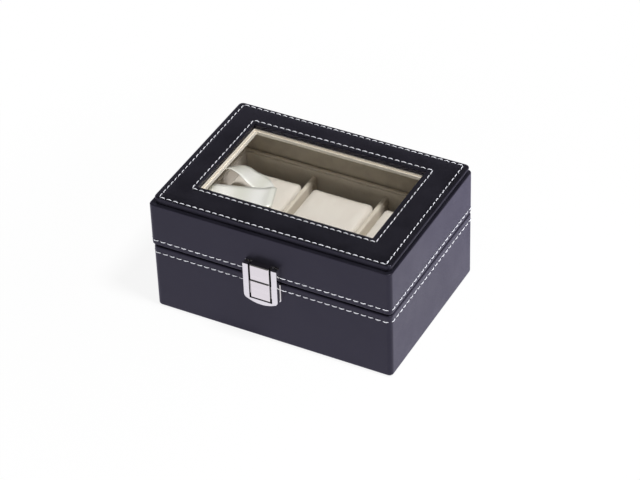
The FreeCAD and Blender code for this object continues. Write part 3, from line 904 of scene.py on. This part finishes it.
def latch_housing():
    """Chrome U: two rounded arms joined by a bowed foot."""
    low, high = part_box("latch_housing")
    middle = (low.x + high.x) / 2
    half = (high.x - low.x) / 2
    mouth = half - arm_width
    opening = low.z + foot_bar
    radius = (half ** 2 + foot_bow ** 2) / (2 * foot_bow)
    sweep = math.asin(half / radius)
    turns = [sweep * (2 * index / foot_steps - 1) for index in range(foot_steps + 1)]
    foot = [(radius * math.sin(turn), low.z + radius * (1 - math.cos(turn))) for turn in turns]
    outline = [(-mouth, high.z), (-half, high.z), *foot, (half, high.z), (mouth, high.z)]
    outline += [(mouth, opening), (-mouth, opening)]
    bm = bmesh.new()
    back = bm.faces.new([bm.verts.new((middle + x, high.y, z)) for x, z in outline])
    grown = bmesh.ops.extrude_face_region(bm, geom=[back])["geom"]
    front_verts = [item for item in grown if isinstance(item, bmesh.types.BMVert)]
    bmesh.ops.translate(bm, vec=(0, low.y - high.y, 0), verts=front_verts)
    face_out(bm)
    corner_z = low.z + foot_bow
    corners = [
        edge
        for edge in bm.edges
        if all(abs(vert.co.z - corner_z) < same_place for vert in edge.verts)
        and abs(edge.verts[0].co.y - edge.verts[1].co.y) > same_place
    ]
    bevel(bm, corners, foot_corner, segments=6)
    rim = [edge for edge in bm.edges if all(abs(vert.co.y - low.y) < same_place for vert in edge.verts)]
    bevel(bm, rim, housing_round, segments=5)
    made = new_object("latch_housing_bow", bm, "chrome")

    def faces_mouth(face):
        inward = (middle - face.center.x) * face.normal.x > 0 or face.normal.z > facing
        level = abs(face.normal.y) < 1 - facing
        return inward and level and abs(face.center.x - middle) < mouth + mouth_margin

    # Painted shade: the faces inside the U's mouth take the near-black latch finish.
    shade_latch(made.data, faces_mouth)
    made.data.set_sharp_from_angle(angle=sharp_angle)
    settle(made, "base", "chrome", "latch_housing")


def pillow_start(name, node_name):
    """Even mesh of a pillow, drawn in a little before it swells."""
    low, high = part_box(node_name)
    slack = Vector((pillow_slack, pillow_slack, pillow_slack))
    bm = block(low + slack, high - slack)
    bevel(bm, bm.edges[:], pillow_round, segments=4)
    made = new_object(name, bm, "pillow")
    remesh = made.modifiers.new("even", "REMESH")
    remesh.mode = "VOXEL"
    remesh.voxel_size = pillow_voxel
    apply_modifiers(made)
    return made


def apply_modifiers(made):
    """Replace an object's mesh by what its modifiers make of it."""
    evaluated = made.evaluated_get(bpy.context.evaluated_depsgraph_get())
    mesh = bpy.data.meshes.new_from_object(evaluated)
    made.modifiers.clear()
    old = made.data
    made.data = mesh
    bpy.data.meshes.remove(old)


def swell(made, node_name):
    """Blow the pillow up as cloth, no further than its bay leaves room for."""
    low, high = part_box(node_name)
    rest = [vert.co.copy() for vert in made.data.vertices]
    cloth = made.modifiers.new("stuffing", "CLOTH")
    cloth.settings.use_pressure = True
    cloth.settings.uniform_pressure_force = pillow_pressure
    cloth.settings.mass = pillow_mass
    cloth.settings.effector_weights.gravity = 0.0
    cloth.settings.tension_stiffness = pillow_stiffness
    cloth.settings.compression_stiffness = pillow_stiffness
    cloth.settings.bending_stiffness = pillow_bending
    scene = bpy.context.scene
    for number in range(1, pillow_frames + 1):
        scene.frame_set(number)
    apply_modifiers(made)
    scene.frame_set(1)
    for vert, start in zip(made.data.vertices, rest):
        move = vert.co - start
        if move.length > pillow_swell:
            move = move.normalized() * pillow_swell
        place = start + move
        place.x = min(max(place.x, low.x - pillow_room), high.x + pillow_room)
        place.z = max(place.z, low.z)
        vert.co = place


def stuff_pillows():
    """Three velvet pillows, each on its own body."""
    for place in ("left", "middle", "right"):
        node_name = f"pillow_{place}"
        made = pillow_start(f"pillow_cushion_{place}", node_name)
        swell(made, node_name)
        finer = made.modifiers.new("finer", "SUBSURF")
        finer.levels = 1
        finer.render_levels = 1
        made.data.shade_smooth()
        settle(made, f"pillow_{place}_body", "pillow_velvet", node_name)


def ribbon_stations():
    """Places along the ribbon, from base to lid: its front edge and its rear edge."""
    return [
        ((-73.6, -26.5, 39.0), (-73.6, -6.5, 39.0)),
        ((-73.6, -26.5, 47.0), (-73.6, -6.5, 47.0)),
        ((-73.4, -26.6, 56.0), (-73.4, -6.7, 56.0)),
        ((-70.5, -26.8, 62.0), (-72.0, -7.4, 62.0)),
        ((-60.5, -26.0, 63.5), (-66.5, -6.8, 63.5)),
        ((-52.5, -23.6, 63.5), (-58.5, -4.6, 63.5)),
        ((-43.5, -21.0, 63.5), (-49.5, -1.9, 63.5)),
        ((-35.5, -18.6, 63.6), (-41.5, 0.4, 63.6)),
        ((-28.5, -16.4, 64.0), (-34.5, 2.6, 64.0)),
        ((-24.0, -14.6, 64.9), (-30.0, 4.4, 64.9)),
        ((-21.8, -13.0, 63.6), (-28.0, 6.0, 63.6)),
        ((-23.4, -11.6, 61.6), (-29.6, 7.4, 61.4)),
        ((-29.0, -6.5, 60.8), (-34.0, 12.9, 59.6)),
        ((-36.0, -1.5, 61.0), (-39.5, 17.8, 58.4)),
        ((-42.0, 1.2, 62.4), (-44.2, 20.2, 58.2)),
        ((-46.0, 2.4, 64.2), (-47.2, 21.0, 58.3)),
        ((-50.0, 3.0, 66.4), (-50.2, 21.4, 58.6)),
        ((-55.0, 5.0, 67.4), (-56.5, 23.5, 59.0)),
        ((-59.0, 5.0, 69.0), (-62.0, 22.0, 59.5)),
        ((-61.5, 1.5, 71.0), (-67.0, 17.0, 60.5)),
        ((-67.0, -3.5, 71.5), (-72.0, 13.5, 62.5)),
        ((-74.6, -5.8, 70.8), (-75.4, 13.8, 67.0)),
        ((-75.9, -6.0, 73.6), (-75.9, 14.0, 73.6)),
    ]


def smooth_line(points, steps):
    """Points along a smooth line through the given ones."""
    line = []
    for index in range(len(points) - 1):
        before = points[max(index - 1, 0)]
        first, last = points[index], points[index + 1]
        after = points[min(index + 2, len(points) - 1)]
        for step in range(steps):
            t = step / steps
            line.append(
                0.5
                * (
                    2 * first
                    + (last - before) * t
                    + (2 * before - 5 * first + 4 * last - after) * t ** 2
                    + (3 * first - before - 3 * last + after) * t ** 3
                )
            )
    return [*line, points[-1]]


def lay_ribbon():
    """Satin ribbon, folded over the left bay while the lid is shut."""
    stations = ribbon_stations()
    fronts = smooth_line([Vector(front) * mm for front, _ in stations], ribbon_steps)
    rears = smooth_line([Vector(rear) * mm for _, rear in stations], ribbon_steps)
    bm = bmesh.new()
    laid = bm.loops.layers.uv.new("along")
    middles = [(front + rear) / 2 for front, rear in zip(fronts, rears)]
    reaches = [0.0]
    for before, after in zip(middles, middles[1:]):
        reaches.append(reaches[-1] + (after - before).length)
    fold = reaches[ribbon_fold * ribbon_steps]
    last = None
    for index, (front, rear) in enumerate(zip(fronts, rears)):
        across = (rear - front).normalized() * ribbon_width
        row = [
            bm.verts.new(middles[index] + across * (place / ribbon_strands - 0.5))
            for place in range(ribbon_strands + 1)
        ]
        if last:
            before, after = reaches[index - 1] - fold, reaches[index] - fold
            for place in range(ribbon_strands):
                face = bm.faces.new((last[place], last[place + 1], row[place + 1], row[place]))
                corners = ((place, before), (place + 1, before), (place + 1, after), (place, after))
                for loop, (step, along) in zip(face.loops, corners):
                    loop[laid].uv = (ribbon_width * step / ribbon_strands, along)
        last = row
    made = new_object("satin_stay_ribbon", bm, "satin")
    thick = made.modifiers.new("thick", "SOLIDIFY")
    thick.thickness = ribbon_thickness
    thick.offset = 0.0
    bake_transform(made)
    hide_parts("stay_ribbon")


def place_camera():
    """Camera at the photograph's viewing angle, for a picture of 640 x 480."""
    back = Vector(
        (
            math.sin(view_azimuth) * math.cos(view_elevation),
            -math.cos(view_azimuth) * math.cos(view_elevation),
            math.sin(view_elevation),
        )
    )
    level = Vector((math.cos(view_azimuth), math.sin(view_azimuth), 0))
    upright = back.cross(level)
    right = level * math.cos(view_roll) + upright * math.sin(view_roll)
    above = upright * math.cos(view_roll) - level * math.sin(view_roll)
    data = bpy.data.cameras.new("camera")
    data.lens = view_lens
    data.sensor_width = view_sensor
    data.sensor_fit = "HORIZONTAL"
    data.clip_start = 0.05
    data.clip_end = 50.0
    camera = bpy.data.objects.new("camera", data)
    turn = Matrix((right, above, back)).transposed().to_4x4()
    camera.matrix_world = Matrix.Translation(view_target + back * view_distance) @ turn
    bpy.context.scene.collection.objects.link(camera)
    bpy.context.scene.camera = camera


def soft_box(name, place, width, level):
    """Square lamp; a white surface that faces it renders at the given level."""
    data = bpy.data.lights.new(name, "AREA")
    data.shape = "RECTANGLE"
    data.size = width
    data.size_y = width
    reach = lamp_aim - place
    data.energy = level * math.pi ** 2 * reach.length_squared
    lamp = bpy.data.objects.new(name, data)
    lamp.location = place
    lamp.rotation_euler = reach.to_track_quat("-Z", "Y").to_euler()
    bpy.context.scene.collection.objects.link(lamp)


def shown_directly(tree):
    """Masks of the rays that show the background: all, the glossy ones, and those outside the pane."""
    path = add(tree, "ShaderNodeLightPath").outputs
    seen = path["Is Camera Ray"]
    glossy, through = path["Is Glossy Ray"], path["Is Transmission Ray"]
    for ray in (glossy, through):
        seen = reckon(tree, "MAXIMUM", seen, ray)
    return seen, glossy, reckon(tree, "SUBTRACT", glossy, through, use_clamp=True)


def glossy_tint(tree, mask):
    """White for the eye, a cool white in reflections."""
    return tinted(tree, mask, (1, 1, 1, 1), reflection_tint)


def light_studio():
    """White sweep under a dark ceiling, with soft lamps."""
    for name, (place, width, level) in lamps.items():
        soft_box(name, place, width, level)
    world = bpy.data.worlds.new("studio")
    world.use_nodes = True
    bpy.context.scene.world = world
    tree = world.node_tree
    tree.nodes.clear()
    seen, glossy, _ = shown_directly(tree)
    heading = add(tree, "ShaderNodeSeparateXYZ", {0: add(tree, "ShaderNodeTexCoord").outputs["Generated"]})
    ceiling = eased(tree, heading.outputs["Z"], ceiling_start, ceiling_end, low=1.0, high=ceiling_dark)
    overhead = chosen(tree, glossy, 1.0, ceiling)
    shown = add(tree, "ShaderNodeBackground", {"Color": glossy_tint(tree, glossy), "Strength": overhead})
    ambient = add(tree, "ShaderNodeBackground", {"Color": ambient_colour, "Strength": ambient_level})
    both = add(tree, "ShaderNodeMixShader", {0: seen, 1: ambient.outputs[0], 2: shown.outputs[0]})
    add(tree, "ShaderNodeOutputWorld", {"Surface": both.outputs[0]})


def lay_floor():
    """Floor that shows white, keeps a faint shadow round the box and is greyer in front in reflections."""
    bm = bmesh.new()
    bmesh.ops.create_grid(bm, x_segments=1, y_segments=1, size=floor_size)
    mesh = bpy.data.meshes.new("floor")
    bm.to_mesh(mesh)
    bm.free()
    floor = bpy.data.objects.new("floor", mesh)
    bpy.context.scene.collection.objects.link(floor)
    made = bpy.data.materials.new("white_sweep")
    made.use_nodes = True
    tree = made.node_tree
    tree.nodes.clear()
    seen, _, mirrored = shown_directly(tree)
    place = add(tree, "ShaderNodeTexCoord").outputs["Object"]
    reach = add(tree, "ShaderNodeVectorMath", {0: place}, operation="LENGTH").outputs["Value"]
    paler = eased(tree, reach, shadow_near, shadow_far, low=shadow_white)
    rearward = add(tree, "ShaderNodeSeparateXYZ", {0: place}).outputs["Y"]
    brighter = eased(tree, rearward, mirror_near, mirror_far, low=mirror_grey)
    share = reckon(tree, "MULTIPLY", seen, chosen(tree, mirrored, paler, brighter))
    matt = add(tree, "ShaderNodeBsdfDiffuse", {"Color": floor_colour})
    white = add(tree, "ShaderNodeEmission", {"Color": glossy_tint(tree, mirrored), "Strength": 1.0})
    both = add(tree, "ShaderNodeMixShader", {0: share, 1: matt.outputs[0], 2: white.outputs[0]})
    add(tree, "ShaderNodeOutputMaterial", {"Surface": both.outputs[0]})
    mesh.materials.append(made)


bpy.context.scene.view_settings.view_transform = "Standard"
dress_frame()
shade_latch_gaps()
line_box()
wrap_lid()
frame_board()
lay_cover()
sew_seams()
latch_housing()
stuff_pillows()
lay_ribbon()
lay_floor()
light_studio()
place_camera()
